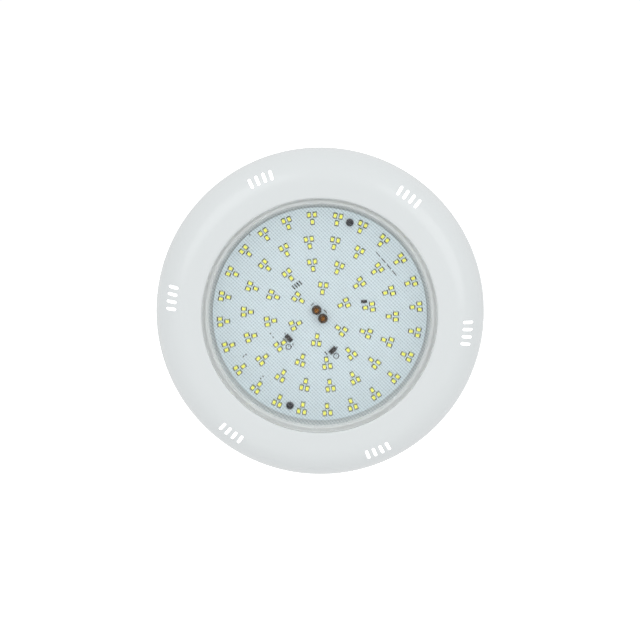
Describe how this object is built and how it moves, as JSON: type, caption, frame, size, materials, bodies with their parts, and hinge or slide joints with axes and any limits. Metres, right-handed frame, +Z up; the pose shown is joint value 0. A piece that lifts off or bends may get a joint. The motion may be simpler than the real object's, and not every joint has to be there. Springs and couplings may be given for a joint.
{
  "type": "underwater pool light",
  "caption": "Round wall-hung LED pool light: slotted white face ring, clear ribbed lens over a white LED board, sealed housing with cable gland, twist-lock wall bracket.",
  "frame": {"origin": "centre of the wall bracket's rear face, on the pool wall", "axes": "+Y points into the wall, so the light stands out along -Y; +Z is up; +X is to the right as seen from the water"},
  "size_m": [0.29, 0.052, 0.29],
  "materials": {
    "ring_plastic": "gloss white ABS, moulded",
    "white_plastic": "satin white ABS, moulded",
    "bracket_plastic": "matte white ABS, moulded",
    "clear_lens": "clear polycarbonate, polished outside, fine prisms inside",
    "board": "white solder mask on aluminium",
    "silicone": "translucent grey silicone",
    "thermal_pad": "soft grey gap pad",
    "steel": "stainless",
    "brass": "plain brass",
    "black_plastic": "moulded epoxy",
    "insulator": "moulded insulating plastic",
    "gland_nylon": "light grey nylon",
    "black_rubber": "black nitrile rubber"
  },
  "bodies": {
    "wall_bracket": {"wall_bracket": "bracket_plastic"},
    "lamp": {"lamp_housing": "white_plastic", "thermal_pad": "thermal_pad", "led_board": "board", "rectifier_1": "black_plastic", "rectifier_2": "black_plastic", "thermal_fuse": "black_plastic", "board_screw_1": "steel", "board_screw_2": "steel", "terminal_block": "insulator", "terminal_post_1": "brass", "terminal_post_2": "brass", "terminal_washer_1": "steel", "terminal_washer_2": "steel", "terminal_nut_1": "brass", "terminal_nut_2": "brass", "clamp_screw_1": "steel", "clamp_screw_2": "steel", "lens_seal": "silicone", "lens": "clear_lens", "lens_screw_1": "steel", "lens_screw_2": "steel", "lens_screw_3": "steel", "lens_screw_4": "steel", "lens_screw_5": "steel", "lens_screw_6": "steel", "lens_screw_7": "steel", "lens_screw_8": "steel", "gland_body": "gland_nylon", "gland_o_ring": "black_rubber", "gland_locknut": "gland_nylon"},
    "face_ring": {"face_ring": "ring_plastic"},
    "gland_insert": {"gland_insert": "black_rubber"},
    "gland_cap": {"gland_cap": "gland_nylon"}
  },
  "joints": [
    {"name": "lamp_twist", "type": "hinge", "parent": "wall_bracket", "child": "lamp", "pos_m": [0, 0, 0], "axis": [0, 1, 0], "range_deg": [-25, 0]},
    {"name": "ring_pull", "type": "slide", "parent": "lamp", "child": "face_ring", "axis": [0, -1, 0], "range_m": [0, 0.045]},
    {"name": "gland_travel", "type": "slide", "parent": "lamp", "child": "gland_insert", "axis": [0, 0, -1], "range_m": [0, 0.0023]},
    {"name": "gland_cap_turn", "type": "hinge", "parent": "gland_insert", "child": "gland_cap", "pos_m": [0, -0.0165, 0], "axis": [0, 0, -1], "range_deg": [0, 540]}
  ],
  "couplings": [
    {"joint": "gland_travel", "follows": "gland_cap_turn", "m_per_rad": 0.00023873}
  ]
}
